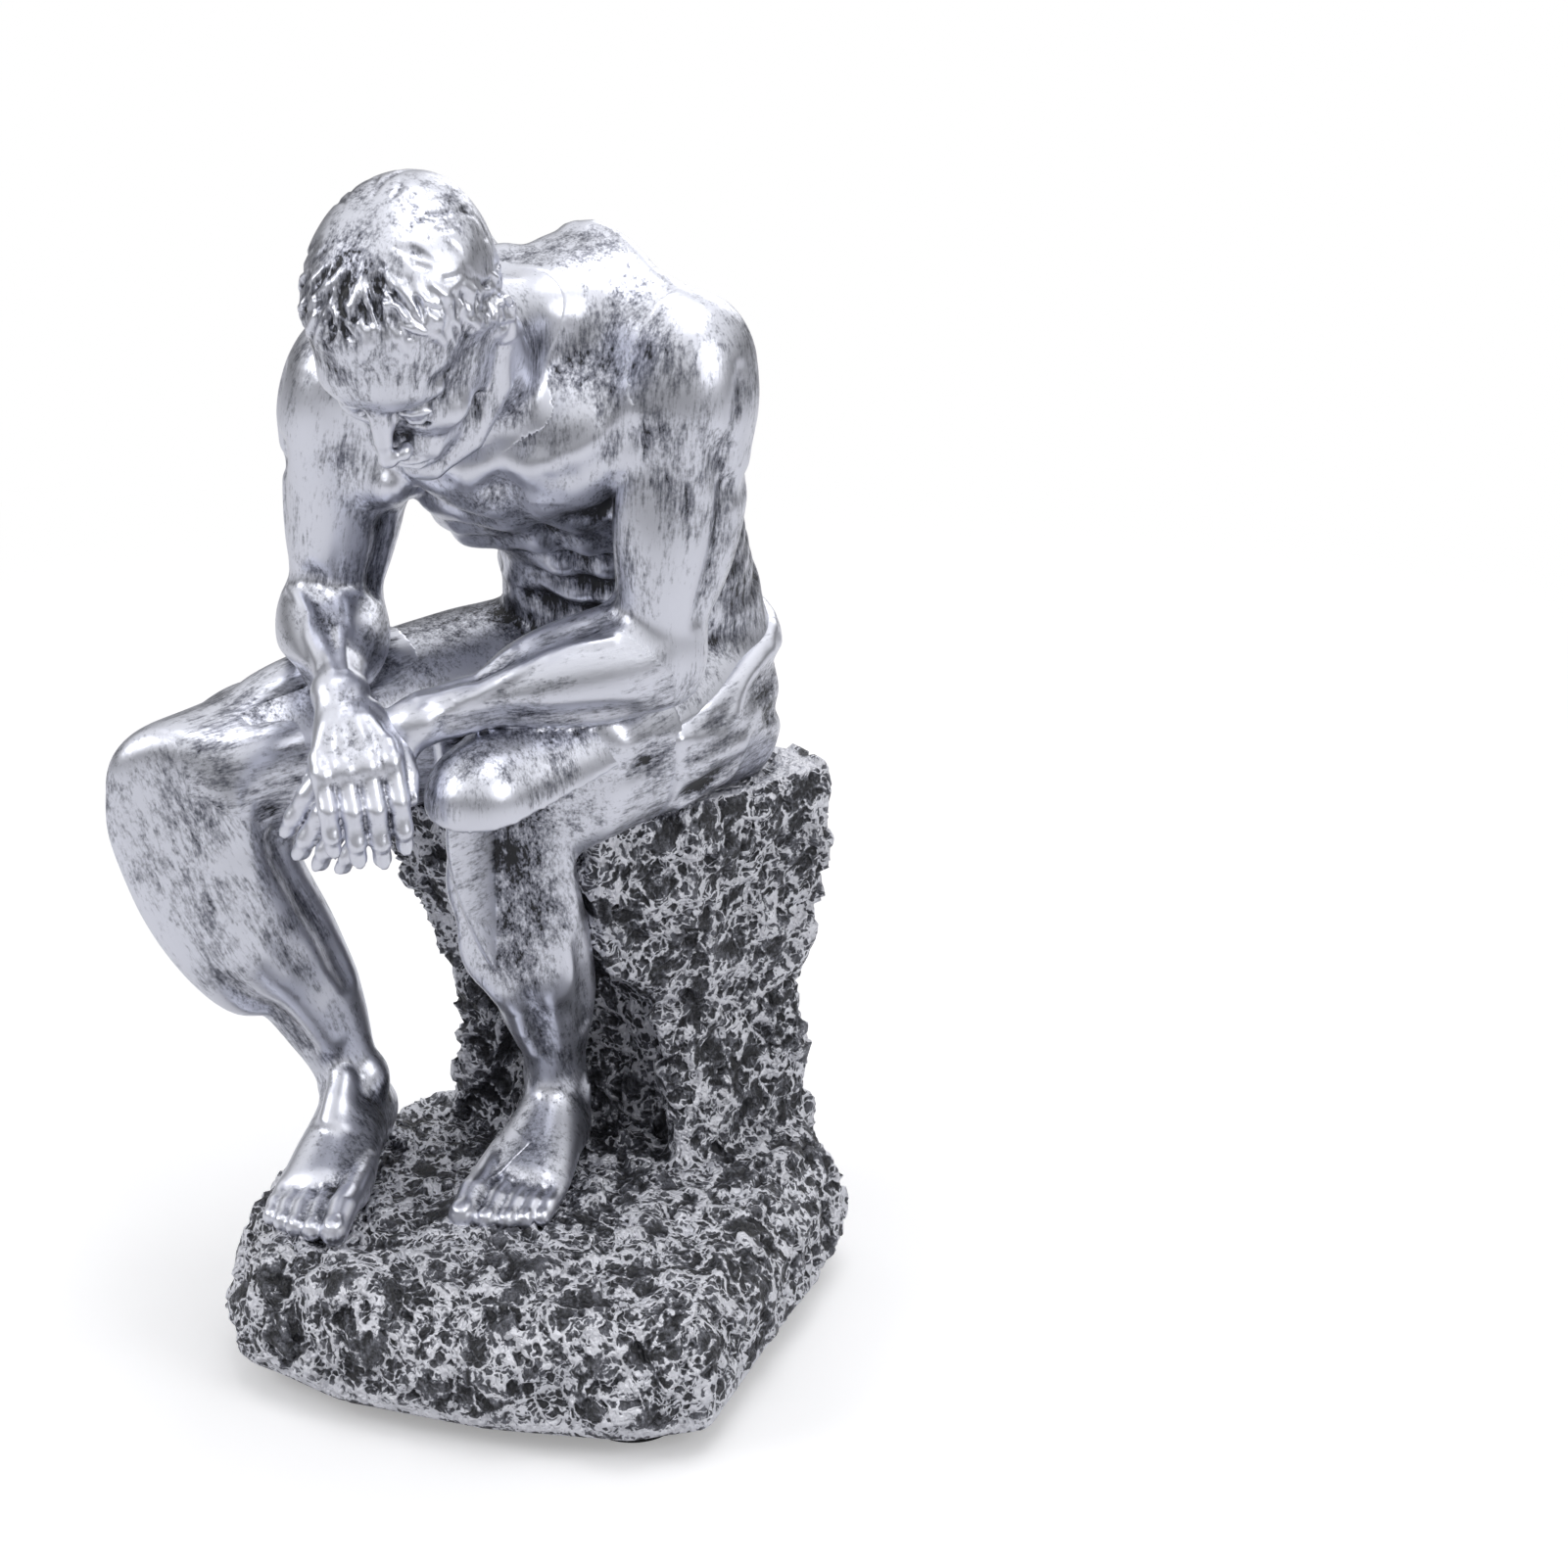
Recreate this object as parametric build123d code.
from build123d import *
from math import cos, pi, sin
import os

# A seated, thinking figure on a rock: a cold-cast resin ornament for a shelf.
# The figure faces -Y, its left side is +X, and Z points up from the table.
# The figure, its two arms and the rock are separate castings, joined on steel pegs.
# The hollow rock is closed underneath by a board that stands on four foam pads.

# Driving dimensions, in millimetres
body_size = 325.0  # height the figure would have if it stood up
seat_height = 108.0  # top of the seat block, above the table
platform_height = 29.0  # rock under the soles, above the table
base_width = 114.0  # rock's widest, left to right
base_depth = 128.0  # rock's deepest, front to back
block_width = 64.0  # the seat block that rises from the rock
block_depth = 62.0
seat_x = -25.0  # middle of the seat, from the middle of the rock
seat_y = 35.5
block_x = 4.0  # middle of the block, from the middle of the seat
block_y = -3.0
wall = 8.0  # thickness of the hollow rock casting
board_thickness = 2.0
board_recess = 1.2  # how far the board is let into the rock's underside
board_rim = 4.0  # rock left showing round the board
board_clearance = 0.4
glue_thickness = 0.3
pad_diameter = 17.0
pad_thickness = 3.0
peg_diameter = 4.0
peg_clearance = 0.1
peg_depth = 6.0  # how far a peg goes into each of the two pieces it joins
seat_peg_spacing = 26.0
sink = 0.8  # how far the soles and the seat are let into the rock
overrun = 1.0  # how far a cut runs past the face that it opens

limb_sides = 20  # flat facets round the trunk, the head and the limbs
finger_sides = 8  # flat facets round a finger, a toe, an ear or the nose
X_WAY, Y_WAY, Z_WAY = Vector(1, 0, 0), Vector(0, 1, 0), Vector(0, 0, 1)
side_sign = {"left": 1, "right": -1}
# Levels of an egg shape: place along it, size
egg_shares = ((-1.0, 0.15), (-0.75, 0.62), (-0.30, 0.96), (0.30, 0.96), (0.75, 0.62), (1.0, 0.15))

board_top = pad_thickness + board_thickness
recess_ceiling = board_top + glue_thickness
rock_bottom = recess_ceiling - board_recess
block_bottom = platform_height - wall - overrun
seat_point = Vector(seat_x, seat_y, seat_height - sink)
sole_height = platform_height - sink


def on_body(x_share, y_share, z_share):
    """A place on the figure, as shares of the body size from the middle of the seat."""
    return seat_point + Vector(x_share, y_share, z_share) * body_size


def oval(centre, along, across, half_wide, half_deep, sides):
    """Corners of an oval square to along, with half_wide measured along across."""
    wide_way = (across - along * across.dot(along)).normalized()
    deep_way = along.cross(wide_way)
    corners = []
    for step in range(sides):
        turn = 2 * pi * step / sides
        wide, deep = half_wide * cos(turn), half_deep * sin(turn)
        corners.append(centre + wide_way * wide + deep_way * deep)
    return corners


def faceted_loft(rings):
    """A solid with flat triangles from ring to ring of corners, closed at both ends."""
    outlines = [rings[0], rings[-1]]
    for low, high in zip(rings, rings[1:]):
        for i, corner in enumerate(low):
            outlines.append([low[i - 1], corner, high[i]])
            outlines.append([low[i - 1], high[i], high[i - 1]])
    return Solid(Shell([Face(Wire.make_polygon(outline)) for outline in outlines]))


def limb(start, end, across, section_shares, margin_share=0.0):
    """A loft along the bone from start to end.

    Each row: share along the bone, then half width, half depth and sideways shift as
    shares of the body size. The shift runs square to the bone and to across.
    """
    along = (end - start).normalized()
    level = (across - along * across.dot(along)).normalized()
    aside = along.cross(level)
    rings = []
    for way, wide, deep, shift in section_shares:
        centre = start + (end - start) * way + aside * (shift * body_size)
        half_wide = (wide + margin_share) * body_size
        half_deep = (deep + margin_share) * body_size
        rings.append(oval(centre, along, level, half_wide, half_deep, limb_sides))
    return faceted_loft(rings)


def tapered_path(places, radii, across):
    """A loft through places along a bent path: a finger, a toe or the nose."""
    rings = []
    for before, here, after, radius in zip(
        [places[0], *places], places, [*places[1:], places[-1]], radii
    ):
        along = (after - before).normalized()
        rings.append(oval(here, along, across, radius, radius, finger_sides))
    return faceted_loft(rings)


def egg(centre, along, across, half_wide, half_deep, half_long, sides=finger_sides):
    """A round form that narrows at both ends, such as an ear."""
    rings = []
    for level_share, size_share in egg_shares:
        middle = centre + along * (level_share * half_long)
        wide, deep = half_wide * size_share, half_deep * size_share
        rings.append(oval(middle, along, across, wide, deep, sides))
    return faceted_loft(rings)


def joined(pieces):
    """One solid from overlapping pieces."""
    return pieces[0] + pieces[1:]


def largest(shape):
    """The main solid of a cut shape, without the chips that a cut leaves."""
    return max(shape.solids(), key=lambda solid: solid.volume)


# The skeleton, as shares of the body size from the middle of the seat
hip_shares = {"left": (0.040, 0.014, 0.050), "right": (-0.044, -0.010, 0.050)}
knee_shares = {"left": (0.065, -0.189, 0.042), "right": (-0.120, -0.266, 0.024)}
ankle_shares = {"left": (0.006, -0.065), "right": (-0.081, -0.159)}
shoulder_shares = {"left": (0.104, -0.062, 0.290), "right": (-0.068, -0.156, 0.264)}
elbow_shares = {"left": (0.108, -0.084, 0.110), "right": (-0.108, -0.148, 0.098)}
wrist_shares = {"left": (0.030, -0.214, 0.086), "right": (0.002, -0.238, 0.100)}
foot_turn = {"left": 26.0, "right": 32.0}  # degrees, towards the figure's left
pelvis_turn = 20.0  # degrees, towards the figure's left
torso_twist = 8.0  # degrees that the shoulders turn further than the pelvis
torso_tilt = 8.0  # degrees that the left shoulder rises

# Torso: middle of the section, half width, half depth, lean in degrees, twist share
torso_shares = (
    (0.002, 0.008, -0.002, 0.077, 0.060, 0, 0.0),
    (0.003, 0.010, 0.040, 0.084, 0.070, 4, 0.1),
    (0.003, 0.010, 0.085, 0.079, 0.065, 12, 0.2),
    (0.002, 0.001, 0.130, 0.080, 0.058, 24, 0.35),
    (0.006, -0.020, 0.168, 0.083, 0.057, 34, 0.5),
    (0.010, -0.050, 0.204, 0.094, 0.062, 40, 0.7),
    (0.014, -0.082, 0.238, 0.106, 0.066, 44, 0.9),
    (0.018, -0.108, 0.274, 0.104, 0.062, 50, 1.0),
    (0.022, -0.126, 0.300, 0.066, 0.046, 58, 1.0),
    (0.024, -0.135, 0.309, 0.038, 0.028, 58, 1.0),
)
wrap_rows = 3  # torso sections that the cloth round the hips covers
wrap_margin_share = 0.007
wrap_thigh_shares = (
    (0.00, 0.050, 0.044, 0),
    (0.22, 0.055, 0.049, 0),
    (0.46, 0.052, 0.047, 0),
)
lap_shares = (
    (0.00, 0.052, 0.030, 0),
    (0.30, 0.050, 0.025, -0.006),
    (0.70, 0.050, 0.025, -0.006),
    (1.00, 0.052, 0.030, 0),
)
lap_way_share = 0.20  # where the cloth crosses from thigh to thigh
thigh_shares = (
    (0.00, 0.048, 0.043, 0),
    (0.30, 0.055, 0.052, 0),
    (0.65, 0.049, 0.048, 0),
    (0.96, 0.036, 0.036, 0),
    (1.05, 0.031, 0.031, 0),
    (1.09, 0.018, 0.018, 0),
)
shank_shares = (
    (-0.12, 0.018, 0.018, 0),
    (-0.06, 0.031, 0.031, 0),
    (0.14, 0.035, 0.037, -0.003),
    (0.32, 0.035, 0.040, -0.007),
    (0.55, 0.029, 0.032, -0.005),
    (0.80, 0.020, 0.024, 0),
    (1.04, 0.020, 0.026, 0),
)
knee_radius_share = 0.036
ankle_height_share = 0.050
# Foot: place along the foot from the ankle, height of the middle, half width, half height
foot_shares = (
    (-0.042, 0.016, 0.010, 0.012),
    (-0.032, 0.020, 0.018, 0.024),
    (-0.008, 0.026, 0.021, 0.032),
    (0.026, 0.024, 0.023, 0.032),
    (0.064, 0.013, 0.029, 0.021),
    (0.096, 0.007, 0.030, 0.012),
)
# Toes, big toe first: place across the foot, length past the toe line, radius
toe_shares = (
    (-0.0205, 0.042, 0.0095),
    (-0.0060, 0.039, 0.0074),
    (0.0055, 0.035, 0.0068),
    (0.0155, 0.029, 0.0063),
    (0.0245, 0.022, 0.0058),
)
toe_line_share = 0.087
# Along a toe: place as a share of its length, then height and radius of its radius
toe_profile_shares = ((0.0, 1.4, 1.0), (0.45, 1.7, 1.0), (0.85, 1.0, 0.85), (1.0, 0.7, 0.5))


def torso(rows, margin_share=0.0):
    """The trunk's loft through some rows of torso_shares, made fuller by a margin."""
    rings = []
    for x_share, y_share, z_share, wide, deep, lean, twist_share in rows:
        along = Z_WAY.rotate(Axis.X, lean)
        across = X_WAY.rotate(Axis.Y, -torso_tilt * twist_share)
        turn = pelvis_turn + torso_twist * twist_share
        across = across.rotate(Axis.Z, turn)
        along = along.rotate(Axis.Z, turn)
        centre = on_body(x_share, y_share, z_share)
        half_wide = (wide + margin_share) * body_size
        half_deep = (deep + margin_share) * body_size
        rings.append(oval(centre, along, across, half_wide, half_deep, limb_sides))
    return faceted_loft(rings)


def joints_of_leg(side):
    """Hip, knee and ankle of one leg."""
    x_share, y_share = ankle_shares[side]
    ankle = Vector(
        seat_x + x_share * body_size,
        seat_y + y_share * body_size,
        sole_height + ankle_height_share * body_size,
    )
    return on_body(*hip_shares[side]), on_body(*knee_shares[side]), ankle


def foot(side, ankle):
    """Heel, instep and five toes, flat under the sole."""
    forward = (-Y_WAY).rotate(Axis.Z, foot_turn[side])
    outward = Z_WAY.cross(forward) * side_sign[side]
    under_ankle = Vector(ankle.X, ankle.Y, sole_height)
    rings = []
    for ahead, height, wide, high in foot_shares:
        centre = under_ankle + (forward * ahead + Z_WAY * height) * body_size
        size = (wide * body_size, high * body_size)
        rings.append(oval(centre, forward, X_WAY, *size, limb_sides))
    pieces = [faceted_loft(rings)]
    for aside, reach, radius in toe_shares:
        root = under_ankle + (forward * toe_line_share + outward * aside) * body_size
        places, radii = [], []
        for way_share, height_share, size_share in toe_profile_shares:
            step = forward * (reach * way_share) + Z_WAY * (radius * height_share)
            places.append(root + step * body_size)
            radii.append(radius * size_share * body_size)
        pieces.append(tapered_path(places, radii, Z_WAY))
    return pieces


def leg(side):
    """Thigh, knee, shank and foot as overlapping pieces."""
    hip, knee, ankle = joints_of_leg(side)
    knee_way = (ankle - hip).normalized()
    knee_size = [knee_radius_share * body_size] * 3
    return [
        limb(hip, knee, X_WAY, thigh_shares),
        egg(knee, knee_way, X_WAY, *knee_size, limb_sides),
        limb(knee, ankle, X_WAY, shank_shares),
        *foot(side, ankle),
    ]


def hip_wrap():
    """The cloth round the hips: over the seat, down both thighs and across the lap."""
    pieces = [torso(torso_shares[:wrap_rows], wrap_margin_share)]
    crossings = []
    for side in side_sign:
        hip, knee, ankle = joints_of_leg(side)
        pieces.append(limb(hip, knee, X_WAY, wrap_thigh_shares, wrap_margin_share))
        crossings.append(hip + (knee - hip) * lap_way_share)
    pieces.append(limb(crossings[1], crossings[0], Y_WAY, lap_shares))
    return pieces


# Head, in its own frame: height along the head, place front to back, half width, half depth
head_size_share = 0.144  # chin to crown
head_size = head_size_share * body_size
head_centre_shares = (0.050, -0.218, 0.326)
head_bow = 44.0  # degrees forwards from upright
head_turn = 18.0  # degrees to the figure's left
head_shares = (
    (-0.495, -0.265, 0.050, 0.035),
    (-0.445, -0.250, 0.135, 0.115),
    (-0.300, -0.125, 0.250, 0.270),
    (-0.080, -0.030, 0.310, 0.370),
    (0.140, 0.015, 0.328, 0.425),
    (0.330, 0.037, 0.298, 0.388),
    (0.450, 0.045, 0.185, 0.245),
    (0.490, 0.045, 0.060, 0.080),
)
nose_shares = ((-0.375, 0.100), (-0.400, 0.010), (-0.425, -0.075), (-0.390, -0.125))
nose_radius_shares = (0.030, 0.040, 0.055, 0.030)
ear_place_shares = (0.325, 0.060, -0.020)
ear_radius_shares = (0.040, 0.075, 0.110)
hair_thickness_share = 0.035
fringe_height_share = 0.19
nape_height_share = -0.12
neck_shares = ((0.018, -0.116, 0.272), (0.044, -0.190, 0.308))
neck_radius_shares = ((0.0, 0.042, 0.041, 0), (1.0, 0.037, 0.037, 0))


def head_plane():
    """The head's frame: X to its left, Y backwards, Z towards its crown."""
    crown_way = Z_WAY.rotate(Axis.X, head_bow).rotate(Axis.Z, head_turn)
    left_way = X_WAY.rotate(Axis.Z, head_turn)
    return Plane(origin=on_body(*head_centre_shares), x_dir=left_way, z_dir=crown_way)


def skull(margin_share=0.0):
    """Cranium and jaw in one loft, made fuller by a margin for the hair."""
    rings = []
    for z_share, y_share, wide, deep in head_shares:
        centre = Vector(0, y_share, z_share + margin_share) * head_size
        half_wide = (wide + margin_share) * head_size
        half_deep = (deep + margin_share) * head_size
        rings.append(oval(centre, Z_WAY, X_WAY, half_wide, half_deep, limb_sides))
    return faceted_loft(rings)


def hair():
    """A close cap of hair: a fuller skull, kept above a line from fringe to nape."""
    slope = (fringe_height_share - nape_height_share) * head_size
    side = [
        (-head_size, fringe_height_share * head_size + slope / 2),
        (head_size, nape_height_share * head_size - slope / 2),
        (head_size, head_size),
        (-head_size, head_size),
    ]
    kept = extrude(Plane.YZ * make_face(Polyline(*side, close=True)), head_size, both=True)
    return skull(hair_thickness_share) & kept


def face_features():
    """Nose and ears in the head's frame."""
    places = [Vector(0, y, z) * head_size for y, z in nose_shares]
    pieces = [tapered_path(places, [r * head_size for r in nose_radius_shares], X_WAY)]
    x_share, y_share, z_share = ear_place_shares
    wide, deep, high = (share * head_size for share in ear_radius_shares)
    for sign in side_sign.values():
        centre = Vector(sign * x_share, y_share, z_share) * head_size
        pieces.append(egg(centre, Z_WAY, X_WAY, wide, deep, high))
    return pieces


def head_and_neck():
    """The bowed head with its hair, set on the neck."""
    start, end = (on_body(*place) for place in neck_shares)
    shape = joined([skull(), *face_features(), hair()])
    return [head_plane() * shape, limb(start, end, X_WAY, neck_radius_shares)]


upper_arm_shares = (
    (-0.14, 0.018, 0.020, 0),
    (-0.05, 0.032, 0.035, 0),
    (0.12, 0.037, 0.041, 0),
    (0.48, 0.030, 0.036, 0),
    (0.78, 0.025, 0.029, 0),
    (0.98, 0.0235, 0.0250, 0),
    (1.10, 0.0190, 0.0200, 0),
)
forearm_shares = (
    (-0.14, 0.014, 0.015, 0),
    (-0.06, 0.022, 0.023, 0),
    (0.22, 0.0290, 0.0290, 0),
    (0.60, 0.0220, 0.0210, 0),
    (1.02, 0.0170, 0.0125, 0),
)
# Hands: the way of the fingers, and the way that the back of the hand faces
hand_way_shares = {
    "left": ((-0.32, -0.55, -0.77), (0.50, -0.60, 0.62)),
    "right": ((0.66, -0.36, -0.66), (0.52, -0.45, 0.72)),
}
palm_shares = (
    (-0.10, 0.0165, 0.0120, 0),
    (0.20, 0.0195, 0.0115, 0),
    (0.60, 0.0250, 0.0100, 0),
    (1.00, 0.0265, 0.0085, 0),
    (1.12, 0.0240, 0.0070, 0),
)
palm_length_share = 0.056
# Fingers, index first: place across the palm, length, radius
finger_shares = (
    (0.0190, 0.048, 0.0068),
    (0.0065, 0.053, 0.0070),
    (-0.0060, 0.050, 0.0067),
    (-0.0180, 0.041, 0.0060),
)
finger_curl_shares = {"left": 0.30, "right": 0.75}
# Along a finger: bone length as a share of its length, bend of the curl, radius
finger_bone_shares = (0.46, 0.34, 0.20, 0.08)
finger_bend_shares = (0.5, 1.3, 2.2, 2.2)
finger_taper_shares = (1.05, 1.0, 0.92, 0.85, 0.45)
# Thumb: place along the palm, place across it, drop below it
thumb_shares = (
    (0.012, 0.013, 0.004),
    (0.030, 0.025, 0.008),
    (0.050, 0.029, 0.012),
    (0.064, 0.027, 0.016),
)
thumb_radius_shares = (0.0100, 0.0092, 0.0070, 0.0035)


def hand(side):
    """Palm, four fingers and thumb from the wrist on."""
    forward, back = (Vector(*way).normalized() for way in hand_way_shares[side])
    back = (back - forward * back.dot(forward)).normalized()
    thumb_way = forward.cross(back) * side_sign[side]
    wrist = on_body(*wrist_shares[side])
    knuckles = wrist + forward * (palm_length_share * body_size)
    pieces = [limb(wrist, knuckles, thumb_way, palm_shares)]
    for aside, reach, radius in finger_shares:
        places = [knuckles + (thumb_way * aside - forward * radius) * body_size]
        for bone_share, bend_share in zip(finger_bone_shares, finger_bend_shares):
            way = forward - back * (finger_curl_shares[side] * bend_share)
            places.append(places[-1] + way.normalized() * (reach * bone_share * body_size))
        radii = [share * radius * body_size for share in finger_taper_shares]
        pieces.append(tapered_path(places, radii, back))
    places = [
        wrist + (forward * ahead + thumb_way * aside - back * drop) * body_size
        for ahead, aside, drop in thumb_shares
    ]
    radii = [share * body_size for share in thumb_radius_shares]
    pieces.append(tapered_path(places, radii, back))
    return pieces


def arm(side):
    """Shoulder to fingertips, before it is fitted to the body."""
    shoulder = on_body(*shoulder_shares[side])
    elbow = on_body(*elbow_shares[side])
    wrist = on_body(*wrist_shares[side])
    forward, back = (Vector(*way) for way in hand_way_shares[side])
    return joined([
        limb(shoulder, elbow, X_WAY, upper_arm_shares),
        limb(elbow, wrist, forward.cross(back), forearm_shares),
        *hand(side),
    ])


# Rock: outlines as shares of the width and depth, going round from the front
base_outline_shares = (
    (-0.294, -0.50),
    (-0.092, -0.49),
    (0.171, -0.39),
    (0.386, -0.26),
    (0.460, -0.155),
    (0.147, 0.45),
    (0.055, 0.50),
    (-0.368, 0.345),
    (-0.500, 0.205),
    (-0.540, 0.05),
    (-0.538, -0.20),
    (-0.440, -0.41),
)
block_outline_shares = (
    (-0.54, -0.68),
    (-0.06, -0.55),
    (0.305, -0.497),
    (0.42, -0.19),
    (0.50, 0.455),
    (0.23, 0.50),
    (-0.39, 0.28),
    (-0.50, -0.07),
)
# Levels: height, scale of the width, scale of the depth, shift to the left and backwards
base_level_shares = (
    (0.0, 0.96, 0.97, 0.0, 0.0),
    (0.24, 1.0, 1.0, 0.0, 0.0),
    (0.70, 0.98, 0.98, 0.0, 0.0),
    (1.0, 0.91, 0.90, -0.03, 0.0),
)
block_level_shares = (
    (0.0, 0.88, 0.76, 0.0, 0.12),
    (0.22, 0.81, 0.74, 0.0, 0.12),
    (0.46, 0.75, 0.78, 0.0, 0.08),
    (0.70, 0.86, 0.90, 0.0, 0.03),
    (0.90, 1.00, 1.00, 0.0, 0.0),
    (1.0, 0.97, 0.97, 0.0, 0.0),
)
stray_share = 0.03  # how far the corners stray in and out from level to level
stray_steps = (2.4, 1.7)  # radians of the stray's wave, from corner to corner and up a level
# The niche in the block behind the left heel
niche_width = 42.0
niche_depth = 34.0
niche_height = 52.0
niche_x = 5.0  # middle of the niche, from the middle of the left ankle
niche_y = 2.0
niche_outline_shares = (
    (-0.5, -0.5),
    (0.5, -0.5),
    (0.46, 0.20),
    (0.16, 0.5),
    (-0.24, 0.46),
    (-0.48, 0.12),
)
niche_level_shares = (
    (0.0, 1.0, 1.0, 0.0, 0.0),
    (0.55, 0.86, 0.84, 0.0, -0.06),
    (1.0, 0.40, 0.50, 0.0, -0.20),
)


def rough_outline(shares, width, depth, centre, level_row, level, shrink=0.0):
    """One rough polygon of a rock, drawn in towards its middle by shrink."""
    height_share, wide, deep, aside_share, back_share = level_row
    corners = []
    for i, (x_share, y_share) in enumerate(shares):
        wave = sin(stray_steps[0] * i + stray_steps[1] * level)
        stray = 1 + stray_share * wave * (level > 0)
        place = Vector(x_share * width * wide, y_share * depth * deep) * stray
        place = place - place.normalized() * shrink
        shift = X_WAY * (aside_share * width) + Y_WAY * (back_share * depth)
        corners.append(centre + place + shift)
    return corners


def rough_loft(shares, width, depth, levels, low, high, centre, shrink=0.0):
    """Flat facets between rough polygons at each level."""
    rings = []
    for level, row in enumerate(levels):
        z = low + (high - low) * row[0]
        corners = rough_outline(shares, width, depth, centre, row, level, shrink)
        rings.append([Vector(p.X, p.Y, z) for p in corners])
    return faceted_loft(rings)


def flat_slab(shrink, low, high):
    """A slab with the outline of the rock's underside, drawn in by shrink."""
    corners = rough_outline(
        base_outline_shares, base_width, base_depth, Vector(), base_level_shares[0], 0, shrink
    )
    line = Polyline(*[(p.X, p.Y, low) for p in corners], close=True)
    return extrude(make_face(line), high - low)


def niche(shrink):
    """The space of the niche, made larger by shrink."""
    ankle = joints_of_leg("left")[2]
    middle = Vector(ankle.X + niche_x, ankle.Y + niche_y)
    return rough_loft(
        niche_outline_shares, niche_width, niche_depth, niche_level_shares,
        platform_height - shrink, platform_height + niche_height + shrink, middle, -shrink,
    )


def rock_solid(shrink, low):
    """Foot platform and seat block in one, filled, drawn in by shrink."""
    platform = rough_loft(
        base_outline_shares, base_width, base_depth, base_level_shares,
        low, platform_height - shrink, Vector(), shrink,
    )
    block_middle = Vector(seat_x + block_x, seat_y + block_y)
    block = rough_loft(
        block_outline_shares, block_width, block_depth, block_level_shares,
        block_bottom, seat_height - shrink, block_middle, shrink,
    )
    return platform + block - niche(shrink)


def peg(centre, along, clearance=0.0):
    """A steel peg, or the hole for it when there is a clearance."""
    plane = Plane(origin=centre, z_dir=along)
    radius = peg_diameter / 2 + clearance
    return plane * Cylinder(radius, 2 * (peg_depth + clearance))


shoulder_peg_share = 0.020  # how far inside the shoulder's middle the joint face lies


def peg_places():
    """Middle and direction of each peg, by the pair of pieces that it joins."""
    places = {"shoulder": [], "seat": []}
    for side, sign in side_sign.items():
        across = X_WAY.rotate(Axis.Z, pelvis_turn + torso_twist) * sign
        shoulder = on_body(*shoulder_shares[side])
        places["shoulder"].append((shoulder - across * (shoulder_peg_share * body_size), across))
        offset = X_WAY.rotate(Axis.Z, pelvis_turn) * (sign * seat_peg_spacing / 2)
        places["seat"].append((seat_point + offset, Z_WAY))
    return places


pegs = peg_places()


def drilled(shape, kinds):
    """The shape with a hole for each peg of the named kinds."""
    for kind in kinds:
        for centre, along in pegs[kind]:
            shape = shape - peg(centre, along, peg_clearance)
    return shape


# The castings, each cut to the one that it is fitted to
figure = joined([torso(torso_shares), *head_and_neck(), *leg("left"), *leg("right"), *hip_wrap()])
top_face = (Align.CENTER, Align.CENTER, Align.MAX)
figure = figure - Pos(0, 0, sole_height) * Box(body_size, body_size, sole_height, align=top_face)
left_arm = largest(arm("left") - figure)
right_arm = largest(arm("right") - figure - left_arm)
rock = rock_solid(0, rock_bottom) - rock_solid(wall, rock_bottom - overrun)
rock = rock - flat_slab(board_rim - board_clearance, rock_bottom - overrun, recess_ceiling)
rock = rock - figure

parts = {
    "rock_casting": drilled(rock, ["seat"]),
    "figure_body": drilled(figure, ["shoulder", "seat"]),
    "left_arm": drilled(left_arm, ["shoulder"]),
    "right_arm": drilled(right_arm, ["shoulder"]),
    "base_board": flat_slab(board_rim, pad_thickness, board_top),
    "board_glue": flat_slab(board_rim, board_top, recess_ceiling)
    - flat_slab(wall, board_top - overrun, recess_ceiling + overrun),
}
for kind, places in pegs.items():
    parts[f"{kind}_pegs"] = Compound([peg(*place).solid() for place in places])

# Foam pads near the board's corners, as shares of the rock's width and depth
pad_place_shares = ((-0.27, -0.34), (0.27, -0.16), (0.07, 0.32), (-0.36, 0.14))
for number, (x_share, y_share) in enumerate(pad_place_shares, 1):
    place = Pos(x_share * base_width, y_share * base_depth, pad_thickness / 2)
    parts[f"foam_pad_{number}"] = place * Cylinder(pad_diameter / 2, pad_thickness)

# The finished model stands on the table with its outer box centred on the origin
solids = [solid for part in parts.values() for solid in part.solids()]
box = Compound(solids).bounding_box()
home = Pos(-box.center().X, -box.center().Y, -box.min.Z)
os.makedirs("parts", exist_ok=True)
for name, part in parts.items():
    export_step(home * part, f"parts/{name}.step")
